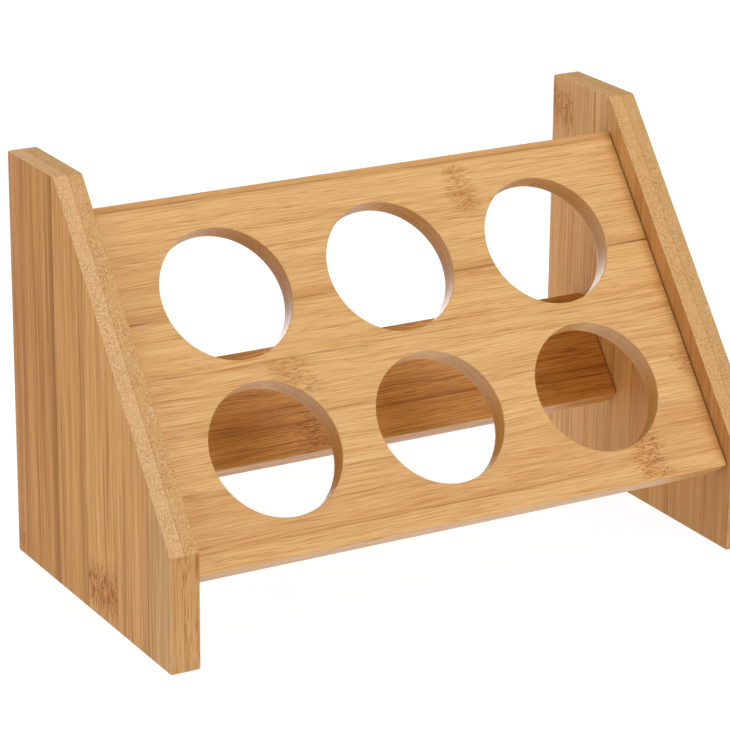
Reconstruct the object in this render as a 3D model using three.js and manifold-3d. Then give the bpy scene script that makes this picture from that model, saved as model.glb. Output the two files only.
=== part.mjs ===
// Countertop spice rack in laminated bamboo. Two upright side boards carry a slanted front panel with
// round jar holes and, behind it, a parallel rail that the bottoms of the jars lean on. Every joint is
// a glued butt joint held by blind fluted dowels, so no fastener shows.
// Millimetres, +Z up, front towards -Y, origin in the middle of the footprint, on the counter.

import * as THREE from "three";
import { mergeVertices, toCreasedNormals } from "three/addons/utils/BufferGeometryUtils.js";
import Module from "manifold-3d";

const wasm = await Module();
wasm.setup();

// Jar holes in the front panel
const JAR_COLUMNS = 3;
const JAR_ROWS = 2;
const HOLE_DIAMETER = 49;
const COLUMN_WEB = 16; // wood between neighbouring holes of one row
const ROW_WEB = 8.5; // wood between the rows
const HOLE_TO_SIDE = 17.5; // wood between an outer hole and the side board
const HOLE_TO_EDGE = 13.5; // wood between a row and the panel's long edge

// Boards
const SIDE_THICKNESS = 11;
const PANEL_THICKNESS = 9;
const RAIL_THICKNESS = 9;
const RAIL_WIDTH = 42;

// Outline of the side boards
const SLOPE_DEGREES = 51.5; // slanted front edge, from the counter
const FRONT_EDGE_HEIGHT = 42; // upright front edge below the slant
const TOP_EDGE_LENGTH = 38; // level top edge behind the slant
const SLANT_ABOVE_PANEL = 10.6; // slanted edge that runs on past the panel's upper edge

// Places of the panel and the rail, square to and along the slanted edge
const PANEL_RECESS = 7; // panel face behind the slanted edge
const PANEL_DROP = 6; // panel runs this far past the slant's lower end
const JAR_REACH = 53.3; // from the panel's face to the rail's face
const RAIL_RISE = 2.4; // rail's middle above the middle of the hole pattern

// Dowels
const DOWEL_DIAMETER = 6;
const DOWEL_IN_BOARD = 20; // length of a dowel inside the panel or rail
const BLIND_WALL = 3; // wood between a dowel hole's bottom and the side's outer face
const PANEL_DOWEL_INSET = 12; // dowel axis from the panel's long edge
const RAIL_DOWEL_INSET = 10; // dowel axis from the rail's long edge
const DOWEL_CHAMFER = 0.8;
const DOWEL_FLUTES = 12;
const FLUTE_DEPTH = 0.35;
const FLUTE_LAND = 0.35; // share of each flute's pitch that stays round

// Fits and easing
const GLUE_GAP = 0.3; // glue line at butt joints and round the dowels
const ARRIS_ROUND = 0.9; // eased edges of the boards and hole rims
const CORNER_ROUND = 0.7; // corner radius of a side board's flat face, inside its eased edge

// Fineness of the round surfaces
const ARRIS_STEPS = 2;
const CORNER_ARC_STEPS = 2;
const HOLE_ARC_STEPS = 24;
const BORE_SEGMENTS = 20;
const CUT_OVERRUN = 1; // a cutter stands this far out of the face it enters
const CREASE_DEGREES = 35;

// Derived sizes
const slope = THREE.MathUtils.degToRad(SLOPE_DEGREES);
const columnPitch = HOLE_DIAMETER + COLUMN_WEB;
const rowPitch = HOLE_DIAMETER + ROW_WEB;
const innerWidth = (JAR_COLUMNS - 1) * columnPitch + HOLE_DIAMETER + 2 * HOLE_TO_SIDE;
const boardLength = innerWidth - 2 * GLUE_GAP;
const panelWidth = (JAR_ROWS - 1) * rowPitch + HOLE_DIAMETER + 2 * HOLE_TO_EDGE;
const slantLength = panelWidth - PANEL_DROP + SLANT_ABOVE_PANEL;
const sideHeight = FRONT_EDGE_HEIGHT + slantLength * Math.sin(slope);
const sideDepth = TOP_EDGE_LENGTH + slantLength * Math.cos(slope);
const frontY = -sideDepth / 2;
const dowelInSide = SIDE_THICKNESS - BLIND_WALL - GLUE_GAP;

// Places in the slope's own frame: x across the rack, y up the slanted edge from its lower end, and z
// out of the slant, so that the boards lie at negative z.
const panelMiddle = -PANEL_DROP + panelWidth / 2;
const panelFace = -PANEL_RECESS;
const panelCore = panelFace - PANEL_THICKNESS / 2;
const railMiddle = panelMiddle + RAIL_RISE;
const railFace = panelFace - JAR_REACH;
const railCore = railFace - RAIL_THICKNESS / 2;

// Each row of dowels: which board it holds, and where its axis crosses the slope's frame
const dowelRows = [
  { name: "panel_dowel_lower", y: -PANEL_DROP + PANEL_DOWEL_INSET, z: panelCore },
  { name: "panel_dowel_upper", y: -PANEL_DROP + panelWidth - PANEL_DOWEL_INSET, z: panelCore },
  { name: "rail_dowel_lower", y: railMiddle - RAIL_WIDTH / 2 + RAIL_DOWEL_INSET, z: railCore },
  { name: "rail_dowel_upper", y: railMiddle + RAIL_WIDTH / 2 - RAIL_DOWEL_INSET, z: railCore },
];

// Materials
const faceBamboo = new THREE.MeshStandardMaterial({ color: 0xdcaa6d, roughness: 0.5, metalness: 0 });
const sideBamboo = new THREE.MeshStandardMaterial({ color: 0xc59560, roughness: 0.5, metalness: 0 });
const dowelBeech = new THREE.MeshStandardMaterial({ color: 0xd9b88c, roughness: 0.7, metalness: 0 });

// Turns a closed geometry into a solid that can be cut
function solidOf(geometry) {
  const bare = geometry.clone();
  bare.deleteAttribute("normal");
  bare.deleteAttribute("uv");
  const merged = mergeVertices(bare);
  return new wasm.Manifold(
    new wasm.Mesh({
      numProp: 3,
      vertProperties: new Float32Array(merged.attributes.position.array),
      triVerts: new Uint32Array(merged.index.array),
    }),
  );
}

// Turns a solid back into a geometry with crisp edges
function geometryOf(solid) {
  const mesh = solid.getMesh();
  const geometry = new THREE.BufferGeometry();
  geometry.setAttribute("position", new THREE.BufferAttribute(mesh.vertProperties, mesh.numProp));
  geometry.setIndex(new THREE.BufferAttribute(mesh.triVerts, 1));
  return toCreasedNormals(geometry, THREE.MathUtils.degToRad(CREASE_DEGREES));
}

// An outline through corner points, each rounded by an arc that touches both of its edges
function roundedOutline(corners, radius) {
  const outline = new THREE.Shape();
  corners.forEach((corner, i) => {
    const before = corners.at(i - 1).clone().sub(corner).normalize();
    const after = corners[(i + 1) % corners.length].clone().sub(corner).normalize();
    const halfAngle = Math.acos(before.dot(after)) / 2;
    const bisector = before.clone().add(after).normalize();
    const centre = corner.clone().addScaledVector(bisector, radius / Math.sin(halfAngle));
    const touch = radius / Math.tan(halfAngle);
    const start = corner.clone().addScaledVector(before, touch).sub(centre).angle();
    const end = corner.clone().addScaledVector(after, touch).sub(centre).angle();
    outline.absarc(centre.x, centre.y, radius, start, end, false);
  });
  return outline;
}

// A board with eased edges from an outline, lying between z = 0 and z = thickness
function easedBoard(outline, thickness, curveSegments) {
  const geometry = new THREE.ExtrudeGeometry(outline, {
    depth: thickness - 2 * ARRIS_ROUND,
    bevelThickness: ARRIS_ROUND,
    bevelSize: ARRIS_ROUND,
    bevelOffset: -ARRIS_ROUND,
    bevelSegments: ARRIS_STEPS,
    curveSegments,
  });
  return geometry.translate(0, 0, ARRIS_ROUND);
}

// A cutter for a dowel hole, with its axis along z from the hole's bottom to past its mouth
function dowelBore(depth) {
  const length = depth + CUT_OVERRUN;
  const bore = new THREE.CylinderGeometry(
    DOWEL_DIAMETER / 2 + GLUE_GAP,
    DOWEL_DIAMETER / 2 + GLUE_GAP,
    length,
    BORE_SEGMENTS,
  );
  return bore.rotateX(Math.PI / 2).translate(0, 0, length / 2);
}

// Side boards
// Outline in the rack's side view: x is depth from the front, y is height
const slantFoot = new THREE.Vector2(0, FRONT_EDGE_HEIGHT);
const sideCorners = [
  new THREE.Vector2(0, 0),
  new THREE.Vector2(sideDepth, 0),
  new THREE.Vector2(sideDepth, sideHeight),
  new THREE.Vector2(sideDepth - TOP_EDGE_LENGTH, sideHeight),
  slantFoot,
];

// A point of the slope's frame in that side view
function inSideView(y, z) {
  return new THREE.Vector2(y, z).rotateAround(new THREE.Vector2(), slope).add(slantFoot);
}

// The left board has its inner face at the top of its thickness, the right board at the bottom
function sideBoard(hand) {
  const isLeft = hand === "left";
  const outline = roundedOutline(sideCorners, CORNER_ROUND + ARRIS_ROUND);
  let board = solidOf(easedBoard(outline, SIDE_THICKNESS, CORNER_ARC_STEPS));
  for (const row of dowelRows) {
    const centre = inSideView(row.y, row.z);
    const bore = dowelBore(dowelInSide + GLUE_GAP);
    if (isLeft) {
      bore.translate(0, 0, BLIND_WALL);
    } else {
      bore.rotateX(Math.PI).translate(0, 0, SIDE_THICKNESS - BLIND_WALL);
    }
    board = board.subtract(solidOf(bore.translate(centre.x, centre.y, 0)));
  }
  const mesh = new THREE.Mesh(geometryOf(board), sideBamboo);
  mesh.name = `${hand}_side`;
  // Outline x becomes depth, outline y becomes height and the thickness runs across the rack
  mesh.rotation.set(Math.PI / 2, Math.PI / 2, 0);
  mesh.position.set(isLeft ? -innerWidth / 2 - SIDE_THICKNESS : innerWidth / 2, frontY, 0);
  return mesh;
}

// Front panel and rail
// Cuts two dowel holes into each end of a board that is centred on x and y, at +offset and -offset
function boreEnds(board, offset, z) {
  let bored = board;
  for (const end of [-1, 1]) {
    for (const y of [-offset, offset]) {
      const bore = dowelBore(DOWEL_IN_BOARD + GLUE_GAP);
      bore.rotateY((end * Math.PI) / 2);
      bore.translate(end * (innerWidth / 2 - DOWEL_IN_BOARD - GLUE_GAP), y, z);
      bored = bored.subtract(solidOf(bore));
    }
  }
  return bored;
}

function rectangle(length, width) {
  const outline = new THREE.Shape();
  outline.moveTo(-length / 2, -width / 2);
  outline.lineTo(length / 2, -width / 2);
  outline.lineTo(length / 2, width / 2);
  outline.lineTo(-length / 2, width / 2);
  outline.closePath();
  return outline;
}

function frontPanel() {
  const outline = rectangle(boardLength, panelWidth);
  for (let column = 0; column < JAR_COLUMNS; column++) {
    for (let row = 0; row < JAR_ROWS; row++) {
      const x = (column - (JAR_COLUMNS - 1) / 2) * columnPitch;
      const y = (row - (JAR_ROWS - 1) / 2) * rowPitch;
      outline.holes.push(new THREE.Path().absarc(x, y, HOLE_DIAMETER / 2, 0, 2 * Math.PI, true));
    }
  }
  const board = solidOf(easedBoard(outline, PANEL_THICKNESS, HOLE_ARC_STEPS));
  const bored = boreEnds(board, panelWidth / 2 - PANEL_DOWEL_INSET, PANEL_THICKNESS / 2);
  const mesh = new THREE.Mesh(geometryOf(bored), faceBamboo);
  mesh.name = "front_panel";
  mesh.position.set(0, panelMiddle, panelFace - PANEL_THICKNESS);
  return mesh;
}

function jarRail() {
  const board = solidOf(easedBoard(rectangle(boardLength, RAIL_WIDTH), RAIL_THICKNESS));
  const bored = boreEnds(board, RAIL_WIDTH / 2 - RAIL_DOWEL_INSET, RAIL_THICKNESS / 2);
  const mesh = new THREE.Mesh(geometryOf(bored), faceBamboo);
  mesh.name = "jar_rail";
  mesh.position.set(0, railMiddle, railFace - RAIL_THICKNESS);
  return mesh;
}

// Dowels
// A fluted pin along z, from z = 0: a star-like section, cut by a turned blank with chamfered ends
function flutedPin(length) {
  const radius = DOWEL_DIAMETER / 2;
  const fluteAngle = (2 * Math.PI) / DOWEL_FLUTES;
  const section = [];
  for (let flute = 0; flute < DOWEL_FLUTES; flute++) {
    const start = flute * fluteAngle;
    const landEnd = start + FLUTE_LAND * fluteAngle;
    const valley = (landEnd + start + fluteAngle) / 2;
    section.push(onCircle(radius, start));
    section.push(onCircle(radius, landEnd));
    section.push(onCircle(radius - FLUTE_DEPTH, valley));
  }
  const fluted = new THREE.ExtrudeGeometry(new THREE.Shape(section), {
    depth: length,
    bevelEnabled: false,
  });
  const blank = new THREE.LatheGeometry(
    [
      new THREE.Vector2(0, 0),
      new THREE.Vector2(radius - DOWEL_CHAMFER, 0),
      new THREE.Vector2(radius + DOWEL_CHAMFER, 2 * DOWEL_CHAMFER),
      new THREE.Vector2(radius + DOWEL_CHAMFER, length - 2 * DOWEL_CHAMFER),
      new THREE.Vector2(radius - DOWEL_CHAMFER, length),
      new THREE.Vector2(0, length),
    ],
    BORE_SEGMENTS,
  );
  return geometryOf(solidOf(fluted).intersect(solidOf(blank.rotateX(Math.PI / 2))));
}

function onCircle(radius, angle) {
  return new THREE.Vector2(radius * Math.cos(angle), radius * Math.sin(angle));
}

function dowel(row, hand) {
  const pin = new THREE.Mesh(flutedPin(dowelInSide + DOWEL_IN_BOARD), dowelBeech);
  const startX = hand === "left" ? -innerWidth / 2 - dowelInSide : innerWidth / 2 - DOWEL_IN_BOARD;
  pin.name = `${row.name}_${hand}`;
  pin.rotation.y = Math.PI / 2;
  pin.position.set(startX, row.y, row.z);
  return pin;
}

// The rack
const slanted = new THREE.Group();
slanted.position.set(0, frontY, FRONT_EDGE_HEIGHT);
slanted.rotation.x = slope;
slanted.add(frontPanel(), jarRail());
for (const row of dowelRows) {
  slanted.add(dowel(row, "left"), dowel(row, "right"));
}

const rack = new THREE.Group();
rack.add(sideBoard("left"), sideBoard("right"), slanted);

export default rack;
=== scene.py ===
# %% [markdown]
# # A spice rack of laminated bamboo
# The rack is plain joinery: two upright sides, a slanted panel with six jar holes, and a rail behind the
# panel that the jar bottoms lean on. Its sizes could be typed in again here, but then two models would
# have to be kept alike. The imported CAD model holds every size and place already, so it is loaded first.

# %% Load the imported rack
import math

import bmesh
import bpy
from mathutils import Matrix, Vector


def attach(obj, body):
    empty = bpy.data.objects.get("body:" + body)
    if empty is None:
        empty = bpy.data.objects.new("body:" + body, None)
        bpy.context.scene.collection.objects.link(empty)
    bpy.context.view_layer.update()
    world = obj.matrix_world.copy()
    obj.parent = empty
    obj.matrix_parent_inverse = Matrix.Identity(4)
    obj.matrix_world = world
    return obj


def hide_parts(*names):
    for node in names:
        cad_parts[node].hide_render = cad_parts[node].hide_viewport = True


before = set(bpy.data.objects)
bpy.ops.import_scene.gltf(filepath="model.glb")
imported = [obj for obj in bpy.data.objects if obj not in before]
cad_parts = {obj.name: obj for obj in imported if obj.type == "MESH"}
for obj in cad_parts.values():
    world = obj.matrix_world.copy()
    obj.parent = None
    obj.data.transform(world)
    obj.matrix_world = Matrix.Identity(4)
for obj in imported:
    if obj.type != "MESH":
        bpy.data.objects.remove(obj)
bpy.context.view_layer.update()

# %% [markdown]
# Grain, glue lines and plies follow a board and not the room. A material could be turned to suit each
# board, but it is simpler to give every board axes of its own: X along the grain, Y across the width and Z
# through the thickness, out of the face that shows. The sides have upright grain. The panel and the rail
# lean back, and how far is read off their widest flat face, so that it always agrees with the CAD model.

# %% Measure the boards
MM = 0.001


def facing(node):
    """Return where a node's widest flat face looks, turned towards the front."""
    areas = {}
    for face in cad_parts[node].data.polygons:
        direction = tuple(round(part, 3) for part in face.normal)
        areas[direction] = areas.get(direction, 0) + face.area
    widest = Vector(max(areas, key=areas.get)).normalized()
    return -widest if widest.y > 0 else widest


def measure(node, grain, across):
    """Return the place of a board's middle, with its axes, and its length, width and thickness."""
    axes = Matrix((grain, across, grain.cross(across)))
    points = [axes @ vertex.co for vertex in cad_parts[node].data.vertices]
    low = Vector([min(point[axis] for point in points) for axis in range(3)])
    high = Vector([max(point[axis] for point in points) for axis in range(3)])
    middle = axes.transposed() @ ((low + high) / 2)
    place = Matrix.Translation(middle) @ axes.transposed().to_4x4()
    return place, high - low


sideways = Vector((1, 0, 0))
upwards = Vector((0, 0, 1))
backwards = Vector((0, 1, 0))
up_the_slope = facing("front_panel").cross(sideways)
boards = {
    "left_side": measure("left_side", upwards, backwards),
    "right_side": measure("right_side", upwards, backwards),
    "front_panel": measure("front_panel", sideways, up_the_slope),
    "jar_rail": measure("jar_rail", sideways, up_the_slope),
}
for node, (place, size) in boards.items():
    print(node, "length, width, thickness in mm:", [round(length / MM, 1) for length in size])

# %% [markdown]
# A board is sawn to its outline, drilled, and then eased with sandpaper, which leaves a small round along
# every edge. A Bevel modifier could round a plain block, but it slips where a hole's rim meets long thin
# triangles. Here the outline is a list of corners, and both it and a hole can be drawn further in or out,
# because a rounded edge is nothing but a stack of such loops.

# %% Draw outlines and holes
CORNER_ROUND = 1.1 * MM
CORNER_STEPS = 6
HOLE_STEPS = 128


def outline(corners, inset):
    """Return the points of an outline with rounded corners, drawn further in by the inset."""
    points = []
    for number, corner in enumerate(corners):
        to_last = (corners[number - 1] - corner).normalized()
        to_next = (corners[(number + 1) % len(corners)] - corner).normalized()
        half_angle = to_last.angle(to_next) / 2
        reach = CORNER_ROUND / math.tan(half_angle)
        centre = corner + (to_last + to_next).normalized() * CORNER_ROUND / math.sin(half_angle)
        first = (corner + to_last * reach - centre).normalized()
        last = (corner + to_next * reach - centre).normalized()
        for step in range(CORNER_STEPS + 1):
            turned = first.slerp(last, step / CORNER_STEPS)
            points.append(centre + turned * (CORNER_ROUND - inset))
    return points


def bore(centre, radius, inset):
    """Return the points of a drilled hole, made wider by the inset."""
    turns = [2 * math.pi * step / HOLE_STEPS for step in range(HOLE_STEPS)]
    return [centre + Vector((math.cos(turn), math.sin(turn))) * (radius + inset) for turn in turns]


def rectangle(length, width):
    """Return the corners of a plain board."""
    return [Vector((x * length / 2, y * width / 2)) for x, y in ((-1, -1), (1, -1), (1, 1), (-1, 1))]


print("points to a corner:", CORNER_STEPS + 1, "and to a hole:", HOLE_STEPS)

# %% [markdown]
# The round of an edge is a quarter circle at the front face and another at the back. Each ring of the stack
# has an inset and a height, and six rings to a quarter are enough for the light to glide over it.

# %% Ease an edge
EDGE_STEPS = 5


def edge_profile(thickness, front_round, back_round):
    """Return inset and height of each ring, from the front face round to the back."""
    turns = [math.pi / 2 * step / EDGE_STEPS for step in range(EDGE_STEPS + 1)]
    rings = []
    for turn in turns:
        depth = front_round * (1 - math.cos(turn))
        rings.append((front_round * (1 - math.sin(turn)), thickness / 2 - depth))
    for turn in reversed(turns):
        depth = back_round * (1 - math.cos(turn))
        rings.append((back_round * (1 - math.sin(turn)), depth - thickness / 2))
    return rings


print("rings round an eased edge:", 2 * (EDGE_STEPS + 1))

# %% [markdown]
# Now a board can be made. Its rings are joined one to the next, and the two flat faces are filled in
# between outline and holes. Cutting the holes with a Boolean would do it too, but would leave no say over
# how the rims are rounded.

# %% Shape a board
EDGE_ROUND = 0.6 * MM


def shape_board(name, thickness, corners, holes, rims):
    """Return a board's mesh; its edges are eased, and rims are the rounds of its holes, front and back."""
    shape = bmesh.new()
    flat_faces = ([], [])
    for hole in (None, *holes):
        rings = []
        for inset, height in edge_profile(thickness, *(rims if hole else (EDGE_ROUND, EDGE_ROUND))):
            points = bore(*hole, inset) if hole else outline(corners, inset)
            rings.append([shape.verts.new((point.x, point.y, height)) for point in points])
        for upper, lower in zip(rings, rings[1:]):
            for number in range(len(upper)):
                shape.faces.new((upper[number - 1], upper[number], lower[number], lower[number - 1]))
        for edges, ring in zip(flat_faces, (rings[0], rings[-1])):
            edges += [shape.edges.get((ring[number - 1], ring[number])) for number in range(len(ring))]
    for edges in flat_faces:
        bmesh.ops.triangle_fill(shape, use_beauty=True, use_dissolve=False, edges=edges)
    bmesh.ops.recalc_face_normals(shape, faces=shape.faces[:])
    for face in shape.faces:
        face.smooth = True
    mesh = bpy.data.meshes.new(name)
    shape.to_mesh(mesh)
    shape.free()
    return mesh


print("edges are eased by", round(EDGE_ROUND / MM, 2), "mm")

# %% [markdown]
# The mesh is put where the CAD board is and stands for it. Smooth shading alone would bend the light over
# the flat faces, so the normals are weighted by face area: the flats stay flat, and only the rounds shine.

# %% Put a board in its place
FACE_WEIGHT = 100  # 50 counts every face alike, and 100 lets the widest decide


def place_board(node, corners, holes=(), rims=(0.0, 0.0)):
    """Make a board in place of the CAD node of that name."""
    place, size = boards[node]
    mesh = shape_board(node + ".eased", size.z, corners, holes, rims)
    piece = bpy.data.objects.new(mesh.name, mesh)
    bpy.context.scene.collection.objects.link(piece)
    piece.matrix_world = place
    piece.modifiers.new("flat_faces", "WEIGHTED_NORMAL").weight = FACE_WEIGHT
    bpy.context.view_layer.update()
    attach(piece, "root")
    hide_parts(node)
    print(piece.name, len(mesh.polygons), "faces")
    return piece


# %% [markdown]
# The sides have five corners: a square foot, a low front edge, a long slant, a short flat top and a
# straight back. Height and depth were measured, and the front edge and the top have the lengths that the
# CAD model gives them. Both are cut from the same outline, so the right one is the left one moved across,
# and one list of corners serves them both.

# %% Make the sides
FRONT_EDGE_HEIGHT = 42 * MM
TOP_EDGE_LENGTH = 38 * MM

half_height, half_depth = boards["left_side"][1].xy / 2
side_corners = [
    Vector((-half_height, -half_depth)),
    Vector((FRONT_EDGE_HEIGHT - half_height, -half_depth)),
    Vector((half_height, half_depth - TOP_EDGE_LENGTH)),
    Vector((half_height, half_depth)),
    Vector((-half_height, half_depth)),
]
pieces = {}
for node in ("left_side", "right_side"):
    pieces[node] = place_board(node, side_corners)

# %% [markdown]
# The panel is drilled from the front in two rows of three. The front rims are only just broken with
# sandpaper, so they stay crisp. The back rims are routed rounder, which makes the walls of the holes look
# thinner than the board is. The rail is a plain narrow board.

# %% Make the panel and the rail
HOLE_RADIUS = 24.5 * MM
COLUMN_PITCH = 65 * MM
ROW_PITCH = 57.5 * MM
RIM_ROUND = 0.4 * MM
BACK_RIM_ROUND = 1.6 * MM

holes = []
for row in (-0.5, 0.5):
    for column in (-1, 0, 1):
        holes.append((Vector((column * COLUMN_PITCH, row * ROW_PITCH)), HOLE_RADIUS))
rims = (RIM_ROUND, BACK_RIM_ROUND)
panel_corners = rectangle(*boards["front_panel"][1].xy)
pieces["front_panel"] = place_board("front_panel", panel_corners, holes, rims)
rail_corners = rectangle(*boards["jar_rail"][1].xy)
pieces["jar_rail"] = place_board("jar_rail", rail_corners)

# %% [markdown]
# Finishes are shader nodes. Colours are written as they are read off a screen, and one function turns
# them into the linear light that shaders count in. One more function adds a node with its settings, its
# values and its links, which keeps every pattern below down to a few readable lines.

# %% Helpers for finishes


def colour(code):
    """Turn a screen colour such as D6A36C into linear light."""
    parts = [int(code[start:start + 2], 16) / 255 for start in (0, 2, 4)]
    linear = [part / 12.92 if part <= 0.04045 else ((part + 0.055) / 1.055) ** 2.4 for part in parts]
    return (*linear, 1.0)


def add_node(tree, kind, *values, sockets=None, stops=(), **settings):
    """Add a shader node; values fill its sockets in order, and nodes or sockets among them are linked."""
    node = tree.nodes.new("ShaderNode" + kind)
    for setting, value in settings.items():
        setattr(node, setting, value)
    in_order = [socket for socket in node.inputs if socket.enabled]
    by_name = [(node.inputs[name], value) for name, value in (sockets or {}).items()]
    for socket, value in [*zip(in_order, values), *by_name]:
        if isinstance(value, bpy.types.Node):
            value = next(output for output in value.outputs if output.enabled)
        if isinstance(value, bpy.types.NodeSocket):
            tree.links.new(value, socket)
        else:
            socket.default_value = value
    for number, (position, stop_colour) in enumerate(stops):
        # A new ramp comes with two stops, and more are added to them
        ramp = node.color_ramp.elements
        stop = ramp[number] if number < 2 else ramp.new(position)
        stop.position = position
        stop.color = stop_colour
    return node


def empty_material(name):
    """Return a new material with no nodes yet."""
    material = bpy.data.materials.new(name)
    material.use_nodes = True
    material.node_tree.nodes.clear()
    return material


print("half of white on a screen is", round(colour("808080")[0], 3), "of its light")

# %% [markdown]
# Laminated bamboo is glued up from split strips a good 20 mm wide, in two plies. Every strip comes from
# another stem, so its shade changes at the glue line, and the strips of the back ply sit to one side of
# those in front. Separate strips could be modelled, but sanding makes them one flush face, so the strips
# are drawn. Place is measured in millimetres, and a table holds the shade of each strip.

# %% Lay out plies and strips
PLY_SHIFT = 0.43  # of a strip's width, between the glue lines of the two plies


def place_in_board(tree):
    """Return a node with a point's place along, across and through its board, in mm."""
    place = add_node(tree, "TexCoord").outputs["Object"]
    in_mm = add_node(tree, "VectorMath", place, sockets={"Scale": 1 / MM}, operation="SCALE")
    return add_node(tree, "SeparateXYZ", in_mm)


def count_strips(tree, place, size, layout):
    """Return the ply, and how many strips lie between a point and the board's lower or front edge."""
    width = layout["strip_width"]
    behind = add_node(tree, "Math", place.outputs["Z"], 0.0, operation="LESS_THAN")
    to_first_joint = size.y / MM / 2 - layout["first_joint"] + width
    distance = add_node(tree, "Math", place.outputs["Y"], to_first_joint, operation="ADD")
    count = add_node(tree, "Math", distance, width, operation="DIVIDE")
    count = add_node(tree, "Math", behind, -PLY_SHIFT, count, operation="MULTIPLY_ADD")
    return behind, count


def read_table(tree, number, entries):
    """Return the entry of a table of colours that stands at this number."""
    middle = add_node(tree, "Math", number, 0.5, operation="ADD")
    turn = add_node(tree, "Math", middle, len(entries), operation="FLOORED_MODULO")
    share = add_node(tree, "Math", turn, len(entries), operation="DIVIDE")
    stops = [(position / len(entries), entry) for position, entry in enumerate(entries)]
    table = add_node(tree, "ValToRGB", share, stops=stops)
    table.color_ramp.interpolation = "CONSTANT"
    return table


print("the back ply is shifted by", PLY_SHIFT, "of a strip")

# %% [markdown]
# Bamboo has no rings. Long fibre bundles run through a paler ground, dense near the stem's outside and
# loose near its inside. A wave texture would give even stripes, so every mark is noise drawn out along the
# grain instead, to the length and width of the real mark. Noise lies mostly between 0.2 and 0.8, so the
# onset of a mark, from where it starts to where it is full, says how rare it is. Each strip is cut from
# another part of the noise, and its fibres drift a little and curl round the knuckles.

# %% Draw the fibres
SOFT = {"interpolation_type": "SMOOTHSTEP"}
STEM = 900.0  # mm of noise, from which each strip is cut at a place of its own
FRAYING = 0.55  # roughness of the noise
# Sizes are length and width in mm, as for every mark below, and these two levels are mm to either side
DRIFT = {"size": (50.0, 9.0), "onset": (0.2, 0.8), "levels": (-0.8, 0.8)}
CURL = {"size": (4.0, 1.8), "onset": (0.2, 0.8), "levels": (-0.7, 0.7)}


def streaks(tree, fibres, length, width, detail=1.0):
    """Return noise drawn out along the grain; a streak is about this long and this wide, in mm."""
    scaled = add_node(tree, "VectorMath", fibres, (length, width, width), operation="DIVIDE")
    return add_node(tree, "TexNoise", scaled, 1.0, detail, FRAYING)


def soft_marks(tree, fibres, size, onset, levels=(0.0, 1.0), detail=1.0):
    """Return marks of that size, which go from one level to the other as the noise passes the onset."""
    noise = streaks(tree, fibres, *size, detail)
    return add_node(tree, "MapRange", noise, *onset, *levels, **SOFT)


def fibre_place(tree, place, strip, layout, knuckles):
    """Return the place in the stem, where each strip is another stem and fibres curl round knuckles."""
    lot = add_node(tree, "Math", strip, layout["seed"], operation="ADD")
    jump = add_node(tree, "TexWhiteNoise", lot, noise_dimensions="1D")
    along = add_node(tree, "Math", jump, STEM, place.outputs["X"], operation="MULTIPLY_ADD")
    straight = add_node(tree, "CombineXYZ", along, place.outputs["Y"], place.outputs["Z"])
    drift = soft_marks(tree, straight, **DRIFT)
    curl = soft_marks(tree, straight, **CURL)
    bend = add_node(tree, "Math", curl, knuckles, drift, operation="MULTIPLY_ADD")
    across = add_node(tree, "Math", place.outputs["Y"], bend, operation="ADD")
    return add_node(tree, "CombineXYZ", along, across, place.outputs["Z"])


print("fibres drift by", DRIFT["levels"][1], "mm and curl by", CURL["levels"][1], "mm")

# %% [markdown]
# A knuckle is where the stem had a joint: for a few millimetres the fibres curl, darken and break up. A
# texture could scatter them, but there are only a few, so each is placed one by one where it shows, with
# its half length and half width in mm and a lean, because the strip was split at a slight angle. It runs
# out raggedly, fibre by fibre, and stops short at the glue line.

# %% Place the knuckles
RAGGED = {"size": (40.0, 0.7), "onset": (0.25, 0.75), "levels": (-3.0, 3.0)}  # mm ahead or behind
CORE = 0.3  # of a knuckle's half length, in which it has its full strength
SIDE_FADE = 1.5  # mm, in which it stops at a glue line


def mark_knuckles(tree, place, size, layout):
    """Return how much each point of the front ply belongs to a knuckle."""
    in_mm = add_node(tree, "CombineXYZ", place.outputs["X"], place.outputs["Y"], place.outputs["Z"])
    ragged = soft_marks(tree, in_mm, **RAGGED)
    along = add_node(tree, "Math", place.outputs["X"], ragged, operation="ADD")
    in_front = add_node(tree, "Math", place.outputs["Z"], 0.0, operation="GREATER_THAN")
    marks = 0.0
    for x, y, half_length, half_width, lean, strength in layout["knuckles"]:
        aside = add_node(tree, "Math", place.outputs["Y"], y - size.y / MM / 2, operation="SUBTRACT")
        ahead = add_node(tree, "Math", along, x, operation="SUBTRACT")
        ahead = add_node(tree, "Math", aside, -lean, ahead, operation="MULTIPLY_ADD")
        ahead = add_node(tree, "Math", ahead, operation="ABSOLUTE")
        aside = add_node(tree, "Math", aside, operation="ABSOLUTE")
        near = add_node(tree, "MapRange", ahead, CORE * half_length, half_length, strength, 0.0, **SOFT)
        inside = add_node(tree, "MapRange", aside, half_width - SIDE_FADE, half_width, 1.0, 0.0, **SOFT)
        mark = add_node(tree, "Math", near, inside, operation="MULTIPLY")
        marks = add_node(tree, "Math", mark, marks, operation="MAXIMUM")
    return add_node(tree, "Math", marks, in_front, operation="MULTIPLY")


print("fibres of a knuckle run ahead by up to", RAGGED["levels"][1], "mm")

# %% [markdown]
# Along the grain, the colour is built up as it is on the real board. The strip's own shade is first
# darkened in soft bands and fine lines, and then crossed by short dark dashes and a few long dark fibres.
# Fibres are a third of a millimetre wide, which is about as fine as the picture can show.

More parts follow.
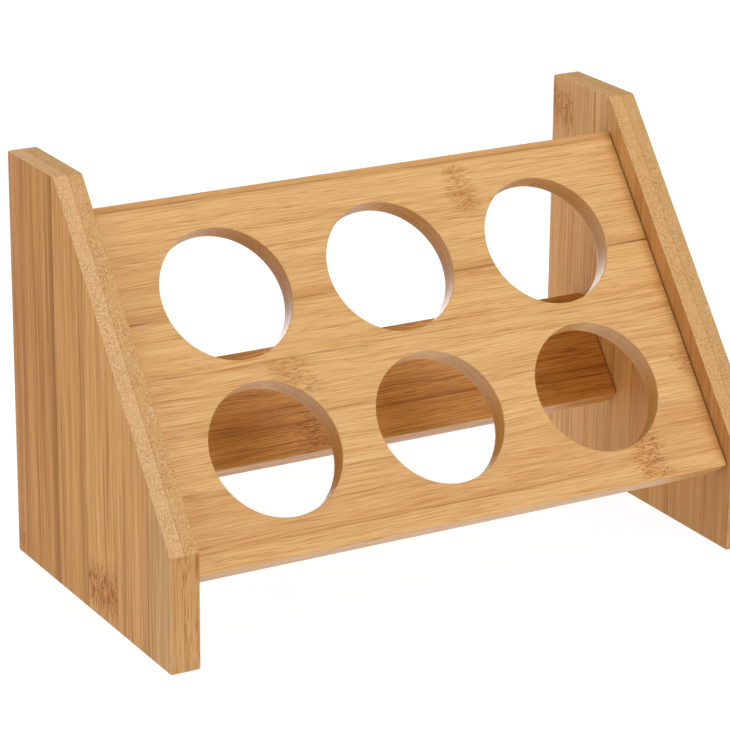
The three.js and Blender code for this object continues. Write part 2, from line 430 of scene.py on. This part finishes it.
# %% Colour the fibres
FIBRE = 0.32  # mm across
BAND = (130.0, 3.2)
BAND_SHARE = 0.3
FINE_DETAIL = 2.0
TONE_STOPS = (0.3, 0.52, 0.68)  # of the noise: darkest up to the first, the strip's own shade past the last
MIDDLE_TONE = "F4ECDA"
OWN_SHADE = "FFFFFF"
CROWD = {"size": (70.0, 5.0), "onset": (0.36, 0.6), "levels": (0.25, 1.0)}
DASH = {"size": (9.0, FIBRE), "onset": (0.57, 0.68)}
LINE = {"size": (60.0, FIBRE), "onset": (0.62, 0.7)}


def fibre_colour(tree, fibres, ground, layout):
    """Return the colour of sanded fibres, the fine lines among them and the dark marks."""
    fine = streaks(tree, fibres, layout["fibre_length"], FIBRE, FINE_DETAIL)
    band = streaks(tree, fibres, *BAND, FINE_DETAIL)
    tone = add_node(tree, "Mix", BAND_SHARE, fine, band)
    contrast = layout["contrast"]
    tone = add_node(tree, "Math", tone, contrast, 0.5 - 0.5 * contrast, operation="MULTIPLY_ADD")
    tones = [colour(code) for code in (layout["dark_tone"], MIDDLE_TONE, OWN_SHADE)]
    shade = add_node(tree, "ValToRGB", tone, stops=zip(TONE_STOPS, tones))
    grain = add_node(tree, "Mix", 1.0, ground, shade, data_type="RGBA", blend_type="MULTIPLY")
    crowd = soft_marks(tree, fibres, **CROWD)
    dash = soft_marks(tree, fibres, **DASH)
    dash = add_node(tree, "Math", dash, crowd, operation="MULTIPLY")
    line = soft_marks(tree, fibres, **LINE)
    dark = add_node(tree, "Math", dash, line, operation="MAXIMUM")
    share = add_node(tree, "Math", dark, layout["dash_strength"], operation="MULTIPLY")
    grain = add_node(tree, "Mix", share, grain, colour(layout["dash"]), data_type="RGBA")
    return grain, fine, dark


print("fibres are", FIBRE, "mm across")

# %% [markdown]
# A knuckle's fibres hold more colour than the rest of the stem. It gets a brown stain of soft streaks, and
# on top of that short dark flecks that follow the curled fibres.

# %% Stain the knuckles
STAIN = {"size": (8.0, 1.2), "onset": (0.38, 0.64), "levels": (0.1, 0.75), "detail": 2.0}
FLECK = {"size": (2.6, 0.38), "onset": (0.5, 0.62), "levels": (0.0, 0.85)}


def stain_knuckles(tree, fibres, knuckles, grain, layout):
    """Return the colour with each knuckle's brown stain and its dark flecks."""
    stain = soft_marks(tree, fibres, **STAIN)
    fleck = soft_marks(tree, fibres, **FLECK)
    for mark, code in ((stain, layout["knuckle"]), (fleck, layout["fleck"])):
        share = add_node(tree, "Math", mark, knuckles, operation="MULTIPLY")
        grain = add_node(tree, "Mix", share, grain, colour(code), data_type="RGBA")
    return grain


print("flecks of a knuckle, length and width in mm:", FLECK["size"])

# %% [markdown]
# Two strips meet in a hair-thin line of glue, dark where it is starved and gone where the strips match. The
# rind side of a strip is browner, and where it was not planed off a dark rim lies beside the glue line. A
# table says how strong both are at each joint, because no two joints on a real board are alike.

# %% Draw the glue lines
STARVED = {"size": (28.0, 9.0), "onset": (0.38, 0.58), "levels": (0.1, 1.0)}
GLUE = (0.12, 0.42)  # mm from the joint: dark up to the first, gone past the second
RIM_START = (-1.6, 0.2)  # mm from the joint, between which the rim comes in
RIM_END = (0.5, 5.0)  # and between which it fades again
RIM_SHARE = 0.75


def draw_joints(tree, fibres, count, grain, layout):
    """Return the colour with the rim and the glue line of every joint."""
    joint = add_node(tree, "Math", count, operation="ROUND")
    offset = add_node(tree, "Math", count, joint, operation="SUBTRACT")
    offset = add_node(tree, "Math", offset, layout["strip_width"], operation="MULTIPLY")
    rim = add_node(tree, "MapRange", offset, *RIM_START, **SOFT)
    fading = add_node(tree, "MapRange", offset, *RIM_END, RIM_SHARE, 0.0, **SOFT)
    rim = add_node(tree, "Math", rim, fading, operation="MULTIPLY")
    distance = add_node(tree, "Math", offset, operation="ABSOLUTE")
    glue = add_node(tree, "MapRange", distance, *GLUE, 1.0, 0.0, **SOFT)
    broken = soft_marks(tree, fibres, **STARVED)
    glue = add_node(tree, "Math", glue, broken, operation="MULTIPLY")
    for mark, table, shade in ((rim, "rims", "rim"), (glue, "joints", "glue")):
        strength = read_table(tree, joint, [(level, level, level, 1.0) for level in layout[table]])
        share = add_node(tree, "Math", mark, strength, operation="MULTIPLY")
        grain = add_node(tree, "Mix", share, grain, colour(layout[shade]), data_type="RGBA")
    return grain


print("a glue line is gone", GLUE[1], "mm from the joint")

# %% [markdown]
# Sawn across, the same bundles show as dots on the slants, the tops and parts of the hole walls. They are
# the cells of a Voronoi texture, dark in the middle and pale between them. Each ply has a shade of its
# own, and a faint line marks the glue between the plies.

# %% Colour the end grain
BUNDLE = 0.5  # mm from dot to dot; the smallest are finer, but would not show
BUNDLE_STRETCH = 5.0  # times as long as wide, along the grain
UNEVENNESS = 0.9
DOT = (0.1, 0.55)  # bundles from a dot's middle: dark up to the first, gone past the second
PALE = (0.45, 0.9)  # between these, the pale ground comes in
PALE_SHARE = 0.45
CROWD_SCALE = 0.18  # per mm, for crowds of dots that are about 5.5 mm wide
CROWD_ONSET = (0.36, 0.64)
DOT_SHARE = (0.22, 0.7)
PLY_SEAM = (0.05, 0.3)  # mm from the middle of the board
SEAM_SHARE = 0.35


def end_grain(tree, place, behind, layout):
    """Return the colour of bamboo cut across its grain."""
    drawn_out = add_node(tree, "Math", place.outputs["X"], BUNDLE_STRETCH, operation="DIVIDE")
    bundles = add_node(tree, "CombineXYZ", drawn_out, place.outputs["Y"], place.outputs["Z"])
    in_front, at_back = [colour(code) for code in layout["end"]]
    ground = add_node(tree, "Mix", behind, in_front, at_back, data_type="RGBA")
    cells = add_node(tree, "TexVoronoi", bundles, sockets={"Scale": 1 / BUNDLE, "Randomness": UNEVENNESS})
    distance = cells.outputs["Distance"]
    between = add_node(tree, "MapRange", distance, *PALE, 0.0, PALE_SHARE, **SOFT)
    speckled = add_node(tree, "Mix", between, ground, colour(layout["end_pale"]), data_type="RGBA")
    dots = add_node(tree, "MapRange", distance, *DOT, 1.0, 0.0, **SOFT)
    crowd = add_node(tree, "TexNoise", bundles, CROWD_SCALE, 1.0)
    crowd = add_node(tree, "MapRange", crowd, *CROWD_ONSET, *DOT_SHARE, **SOFT)
    dots = add_node(tree, "Math", dots, crowd, operation="MULTIPLY")
    speckled = add_node(tree, "Mix", dots, speckled, colour(layout["end_dot"]), data_type="RGBA")
    depth = add_node(tree, "Math", place.outputs["Z"], operation="ABSOLUTE")
    seam = add_node(tree, "MapRange", depth, *PLY_SEAM, SEAM_SHARE, 0.0, **SOFT)
    return add_node(tree, "Mix", seam, speckled, colour(layout["end_dot"]), data_type="RGBA")


print("bundles lie", BUNDLE, "mm apart")

# %% [markdown]
# The arrises round the show face are eased, and a thin pale line that comes and goes is painted along
# them: a painted highlight where the rounded edge turns to the light. The rounded edge itself says where
# that is: its normal is turned part of the way from the face to the edge.

# %% Paint highlights on the arrises
BROKEN_HIGHLIGHT = {"size": (6.0, 2.0), "onset": (0.35, 0.6), "levels": (0.05, 0.35)}
OFF_EDGE = (0.1, 0.45)  # how far the normal points out of the face, nought on an edge and one on the face
OFF_FACE = (0.7, 0.98)
# colour of the painted highlight along the arrises
ARRIS_HIGHLIGHT = "F3D9AE"


def paint_arris_highlight(tree, fibres, facing_way, surface):
    """Return the colour with a painted highlight, a broken pale line along the arrises of the front face.
    """
    off_edge = add_node(tree, "MapRange", facing_way.outputs["Z"], *OFF_EDGE, **SOFT)
    off_face = add_node(tree, "MapRange", facing_way.outputs["Z"], *OFF_FACE, 1.0, 0.0, **SOFT)
    broken = soft_marks(tree, fibres, **BROKEN_HIGHLIGHT)
    # how much of the painted highlight lies here, on the arris of the front face
    wear = add_node(tree, "Math", off_edge, off_face, operation="MULTIPLY")
    wear = add_node(tree, "Math", wear, broken, operation="MULTIPLY")
    return add_node(tree, "Mix", wear, surface, colour(ARRIS_HIGHLIGHT), data_type="RGBA")


print("highlighted stretches, length and width in mm:", BROKEN_HIGHLIGHT["size"])

# %% [markdown]
# All of this comes together under a thin satin lacquer. Where a face turns across the grain, end grain
# takes the place of long grain. Lacquer has an IOR of about 1.5. It dries a little rougher over open
# fibres, so the fine lines drive the roughness, and sanding leaves the dark fibres a shade lower than the
# rest. The edges and hole walls of the panel and the rail get a painted shade that makes them darker than
# the faces, and their lacquer is smoother, so they shine more.

# %% Put the bamboo together
LACQUER_IOR = 1.5
END_GRAIN = (0.25, 0.6)  # how far the normal points along the grain, between which end grain comes in
FLAT_FACE = (0.35, 0.75)  # how far it points out of the face, between which an edge gives way to a face
OPEN_FIBRE = (0.3, 0.7)  # of the fine lines, from open fibres to closed ones
RELIEF = {"Strength": 0.1, "Distance": 0.4 * MM}


def bamboo(node, layout):
    """Return laminated bamboo, sanded and lacquered, laid out for one board."""
    # It gives the eye a warm ground, fine lines that run the length of a board, and a soft sheen
    size = boards[node][1]
    material = empty_material("laminated_bamboo_sanded_lacquered." + node)
    tree = material.node_tree
    place = place_in_board(tree)
    behind, count = count_strips(tree, place, size, layout)
    strip = add_node(tree, "Math", count, operation="FLOOR")
    strip = add_node(tree, "Math", behind, layout["back_strips"], strip, operation="MULTIPLY_ADD")
    ground = read_table(tree, strip, [colour(code) for code in layout["strips"]])
    knuckles = mark_knuckles(tree, place, size, layout)
    fibres = fibre_place(tree, place, strip, layout, knuckles)
    grain, fine, dark = fibre_colour(tree, fibres, ground, layout)
    grain = stain_knuckles(tree, fibres, knuckles, grain, layout)
    grain = draw_joints(tree, fibres, count, grain, layout)
    sawn = end_grain(tree, place, behind, layout)
    facing_way = add_node(tree, "SeparateXYZ", add_node(tree, "TexCoord").outputs["Normal"])
    across_grain = add_node(tree, "Math", facing_way.outputs["X"], operation="ABSOLUTE")
    across_grain = add_node(tree, "MapRange", across_grain, *END_GRAIN, **SOFT)
    surface = add_node(tree, "Mix", across_grain, grain, sawn, data_type="RGBA")
    surface = paint_arris_highlight(tree, fibres, facing_way, surface)
    edge = add_node(tree, "Math", facing_way.outputs["Z"], operation="ABSOLUTE")
    edge = add_node(tree, "MapRange", edge, *FLAT_FACE, 1.0, 0.0, **SOFT)
    # Painted shade: the edges and hole walls are multiplied darker than the faces
    painted_shade = colour(layout["painted_edge_shade"])
    surface = add_node(tree, "Mix", edge, surface, painted_shade, data_type="RGBA", blend_type="MULTIPLY")
    smooth, rough = layout["roughness"]
    gloss = add_node(tree, "MapRange", fine, *OPEN_FIBRE, rough, smooth)
    gloss = add_node(tree, "Mix", edge, gloss, layout["edge_roughness"])
    height = add_node(tree, "Math", fine, dark, operation="SUBTRACT")
    bump = add_node(tree, "Bump", sockets={**RELIEF, "Height": height})
    shader = add_node(tree, "BsdfPrincipled", sockets={
        "Base Color": surface,
        "Roughness": gloss,
        "IOR": LACQUER_IOR,
        "Specular IOR Level": layout["specular"],
        "Normal": bump,
    })
    add_node(tree, "OutputMaterial", shader)
    print(material.name, len(tree.nodes), "nodes")
    return material


# %% [markdown]
# The panel is the show board, so its strips were picked alike, and it has the fullest coat. Its glue lines
# are counted from the lower edge, and the fifth is dark enough to see from across a room. Widths, lengths
# and places are in mm. Knuckles are listed as place along, place across, half length, half width, lean
# and strength.

# %% Finish the front panel
panel_finish = {
    "strip_width": 20.7,
    "first_joint": 6.8,
    "strips": ["EFBD7B", "EAB675", "F0C180", "EEBE7D", "EEBC78", "ECBB78", "EDBD7C", "EBBA77"],
    "back_strips": 2.0,
    "joints": [0.0, 0.4, 0.4, 0.55, 0.45, 1.0, 0.3, 0.6, 0.0],
    "rims": [0.0, 0.2, 0.0, 0.2, 0.1, 0.7, 0.0, 0.6, 0.0],
    "knuckles": [
        (-50, 62, 11, 8, -0.35, 0.65),
        (37, 120, 7, 10, -0.15, 0.7),
        (76, 11, 9, 11, -0.2, 1.0),
        (104, 42, 5, 6, 0.0, 0.7),
    ],
    "fibre_length": 22.0,
    "contrast": 1.0,
    "dark_tone": "CAA65A",
    "dash": "AA6300",
    "dash_strength": 0.45,
    "knuckle": "C48028",
    "fleck": "A05A00",
    "glue": "8A4E08",
    "rim": "C07E2C",
    "end": ["D29C54", "CC954C"],
    "end_dot": "9C6010",
    "end_pale": "E0B06A",
    "roughness": (0.48, 0.6),
    "edge_roughness": 0.36,
    # painted shade on the edges and hole walls
    "painted_edge_shade": "EEE6DC",
    "specular": 0.5,
    "seed": 3.0,
}
pieces["front_panel"].data.materials.append(bamboo("front_panel", panel_finish))

# %% [markdown]
# The rail hides behind the panel. Its strips are browner and its fibres darker and denser than the
# panel's, partly a painted shade for the panel's shadow over it. It shares the panel's coat, and only
# what differs is written down.

# %% Finish the rail
rail_finish = {
    **panel_finish,
    "first_joint": 12.0,
    # browner than the panel's strips, partly a painted shade for the panel's shadow
    "strips": ["DEA552", "E1A855", "DCA24E", "DFA653"],
    "back_strips": 3.0,
    "joints": [0.0, 0.6, 0.5, 0.6, 0.0],
    "rims": [0.0, 0.3, 0.3, 0.0, 0.0],
    "knuckles": [(-21, 9, 8, 8, 0.2, 0.7)],
    "fibre_length": 35.0,
    "contrast": 1.25,
    "dark_tone": "B89460",
    "dash": "7A3E00",
    "dash_strength": 0.8,
    "knuckle": "A86414",
    "fleck": "763800",
    "glue": "703E00",
    "rim": "B06C20",
    "seed": 8.0,
}
pieces["jar_rail"].data.materials.append(bamboo("jar_rail", rail_finish))

# %% [markdown]
# The sides are cut from wider strips that stand upright. They got a thinner coat than the panel, so they
# look duller. The left one shows its outer face, with a dark joint towards the back and a large knuckle
# near the foot. The right one shows its inner face. Its strips are darker towards the front, partly their
# own shade and partly a painted shade for the shadow under the panel.

# %% Finish the sides
left_finish = {
    "strip_width": 23.9,
    "first_joint": 16.5,
    "strips": ["E0B079", "E7B06E", "EBB471", "E1A760", "D99E56", "D79B59"],
    "back_strips": 1.0,
    "joints": [0.0, 0.5, 0.3, 0.6, 0.9, 0.4, 0.0],
    "rims": [0.0, 0.3, 0.0, 0.4, 1.0, 0.2, 0.0],
    "knuckles": [(-63.5, 52.5, 10, 12, -0.1, 1.2), (-70, 119, 6, 5, 0.0, 0.7)],
    "fibre_length": 75.0,
    "contrast": 1.4,
    "dark_tone": "C4A060",
    "dash": "9A5600",
    "dash_strength": 0.45,
    "knuckle": "BE7000",
    "fleck": "924A00",
    "glue": "8A5000",
    "rim": "A06414",
    "end": ["DFAE76", "D29F63"],
    "end_dot": "9C6420",
    "end_pale": "EFC896",
    "roughness": (0.44, 0.56),
    "edge_roughness": 0.5,
    "painted_edge_shade": "FFFFFF",
    "specular": 0.25,
    "seed": 5.0,
}
right_finish = {
    **left_finish,
    "first_joint": 15.0,
    # darker towards the front, partly a painted shade for the shadow under the panel
    "strips": ["D6A168", "D7A368", "DDA86C", "E2B174", "EEBE86", "EEBE86", "E7B77C", "DFAD70"],
    "back_strips": 4.0,
    "joints": [0.0, 0.3, 0.3, 0.4, 0.3, 0.3, 0.0],
    "rims": [0.0, 0.2, 0.2, 0.3, 0.2, 0.0, 0.0],
    "knuckles": [(65, 117, 10, 8, 0.2, 0.8)],
    "contrast": 0.95,
    "dash_strength": 0.25,
    "end": ["D7A365", "CD9E62"],
    "end_pale": "E2BA80",
    "seed": 11.0,
}
for node, finish in (("left_side", left_finish), ("right_side", right_finish)):
    pieces[node].data.materials.append(bamboo(node, finish))

# %% [markdown]
# The dowels sit blind in the joints and never show, but they come with the model, so they are finished too.
# They are beech, turned and fluted: pale pinkish wood with fine short fibres and no coat. Their CAD shape
# is right as it is, and only the material is given to it.

# %% Finish the dowels
BEECH_FIBRE = (16 * MM, 0.7 * MM, 0.7 * MM)

beech = empty_material("beech_turned_fluted")
tree = beech.node_tree
# Bare turned beech gives a matt, even surface with short pale fibres
place = add_node(tree, "TexCoord").outputs["Object"]
stretched = add_node(tree, "VectorMath", place, BEECH_FIBRE, operation="DIVIDE")
fibre = add_node(tree, "TexNoise", stretched, 1.0, 3.0, 0.6)
tone = add_node(tree, "ValToRGB", fibre, stops=[(0.3, colour("C99F72")), (0.7, colour("E2C29A"))])
matt = add_node(tree, "MapRange", fibre, 0.3, 0.7, 0.7, 0.58)
bump = add_node(tree, "Bump", sockets={"Strength": 0.2, "Distance": 0.2 * MM, "Height": fibre})
shader = add_node(tree, "BsdfPrincipled", sockets={"Base Color": tone, "Roughness": matt, "Normal": bump})
add_node(tree, "OutputMaterial", shader)
dowels = [piece for node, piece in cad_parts.items() if "dowel" in node]
for dowel in dowels:
    dowel.data.materials.clear()
    dowel.data.materials.append(beech)
print(len(dowels), "dowels wear", beech.name)

# %% [markdown]
# The rack stands on a light table: a plain opal sheet lit from below, so that it reads as white without a
# shadow. The sheet glows towards the camera alone. Its light on the rack comes from the studio light
# in the next step, because a glowing floor of this size would be slow to sample.

# %% Set the floor
FLOOR_REACH = 12.0
CLOUD = 30 * MM
GLOW = 0.92

floor_mesh = bpy.data.meshes.new("light_table")
floor_corners = [(x * FLOOR_REACH, y * FLOOR_REACH, 0) for x, y in ((-1, -1), (1, -1), (1, 1), (-1, 1))]
floor_mesh.from_pydata(floor_corners, [], [(0, 1, 2, 3)])
floor = bpy.data.objects.new("light_table", floor_mesh)
bpy.context.scene.collection.objects.link(floor)
floor.visible_diffuse = False
floor.visible_shadow = False
floor.visible_glossy = False

opal = empty_material("opal_acrylic_cast_lit_from_below")
tree = opal.node_tree
# Cast opal sheet gives an even white glow with a barely visible cloudiness
cloud = add_node(tree, "TexNoise", add_node(tree, "TexCoord").outputs["Object"], 1 / CLOUD, 2.0)
pale = add_node(tree, "ValToRGB", cloud, stops=[(0.3, colour("787878")), (0.7, colour("7C7C7C"))])
matt = add_node(tree, "MapRange", cloud, 0.3, 0.7, 0.86, 0.94)
shader = add_node(tree, "BsdfPrincipled", sockets={
    "Base Color": pale,
    "Roughness": matt,
    "Specular IOR Level": 0.0,
    "Emission Color": (1, 1, 1, 1),
    "Emission Strength": GLOW,
})
add_node(tree, "OutputMaterial", shader)
floor_mesh.materials.append(opal)
print("light table,", 2 * FLOOR_REACH, "m wide")

# %% [markdown]
# White studio walls and the light table fill every shadow, and one bright patch of backdrop behind the rack
# gives the lower walls of the holes their white gloss. Each could be a lamp, but light that comes from
# all round is what the world is for, so its strength simply changes with the direction.

# %% Fill with soft light
BACKDROP = Vector((0.15, 0.975, -0.16))
BACKDROP_EDGE = (0.955, 0.985)  # nearness to that direction, from its outer edge to where it is full
BACKDROP_LIGHT = 3.0
FLOOR_LIGHT = 0.8
WALL_LIGHT = 0.45
HORIZON = (-0.05, 0.05)  # rise of the direction, between which floor gives way to walls
TABLE_LIGHT = 0.3
UNDERNEATH = (-0.9, -0.4)  # rise, between which the table's own light fades

studio = bpy.data.worlds.new("studio")
bpy.context.scene.world = studio
studio.use_nodes = True
tree = studio.node_tree
tree.nodes.clear()
direction = add_node(tree, "TexCoord").outputs["Generated"]
rise = add_node(tree, "SeparateXYZ", direction).outputs["Z"]
walls = add_node(tree, "MapRange", rise, *HORIZON, FLOOR_LIGHT, WALL_LIGHT)
table = add_node(tree, "MapRange", rise, *UNDERNEATH, TABLE_LIGHT, 0.0)
towards_backdrop = add_node(tree, "VectorMath", direction, BACKDROP, operation="DOT_PRODUCT")
nearness = towards_backdrop.outputs["Value"]
backdrop = add_node(tree, "MapRange", nearness, *BACKDROP_EDGE, 0.0, BACKDROP_LIGHT)
strength = add_node(tree, "Math", walls, table, operation="ADD")
strength = add_node(tree, "Math", strength, backdrop, operation="ADD")
add_node(tree, "OutputWorld", add_node(tree, "Background", (1, 1, 1, 1), strength))
print("studio light,", len(tree.nodes), "nodes")

# %% [markdown]
# Two square softboxes model the shapes. The main one stands to the right of the camera and makes the
# slanted panel the brightest face. The second stands far to the left and keeps the left side from
# going dull. They are large and far off, so no edge throws a hard shadow.

# %% Hang the softboxes
SOFTBOX_WIDTH = 1.2
SOFTBOX_DISTANCE = 1.8
RACK_MIDDLE = Vector((0, 0, 0.07))


def hang_softbox(name, azimuth, elevation, watts):
    """Hang a square softbox in that direction, turned towards the rack."""
    light = bpy.data.lights.new(name, "AREA")
    light.shape = "SQUARE"
    light.size = SOFTBOX_WIDTH
    light.energy = watts
    softbox = bpy.data.objects.new(name, light)
    bpy.context.scene.collection.objects.link(softbox)
    turn = math.radians(azimuth)
    rise = math.radians(elevation)
    level = Vector((math.sin(turn), -math.cos(turn), 0))
    towards = level * math.cos(rise) + upwards * math.sin(rise)
    softbox.location = RACK_MIDDLE + towards * SOFTBOX_DISTANCE
    softbox.rotation_euler = towards.to_track_quat("Z", "Y").to_euler()
    print(name, watts, "W")


hang_softbox("right_softbox", azimuth=30, elevation=45, watts=14.8)
hang_softbox("left_softbox", azimuth=-90, elevation=35, watts=6.4)

# %% [markdown]
# The camera looks down on the rack from the front left with a long lens. Its place, aim and lens were
# worked out from the corners of the boards and the rims of the holes, so that they land where they should
# in a square picture.

# %% Set the camera
AZIMUTH = math.radians(29.752)
ELEVATION = math.radians(19.527)
ROLL = math.radians(0.473)
AIM = Vector((-9.70, 0, 72.00)) * MM
DISTANCE = 1163.8 * MM
FOCAL_LENGTH = 161.68  # in mm, like the sensor, because Blender takes both so
SENSOR_WIDTH = 36.0

lens = bpy.data.cameras.new("camera")
lens.lens = FOCAL_LENGTH
lens.sensor_width = SENSOR_WIDTH
camera = bpy.data.objects.new("camera", lens)
bpy.context.scene.collection.objects.link(camera)
level_ahead = Vector((math.sin(AZIMUTH), math.cos(AZIMUTH), 0))
ahead = level_ahead * math.cos(ELEVATION) - upwards * math.sin(ELEVATION)
camera.location = AIM - ahead * DISTANCE
upright = ahead.to_track_quat("-Z", "Y").to_matrix()
camera.rotation_euler = (upright @ Matrix.Rotation(ROLL, 3, "Z")).to_euler()
bpy.context.scene.camera = camera
bpy.context.scene.view_settings.view_transform = "Standard"
print("camera at, mm:", [round(length / MM) for length in camera.location])
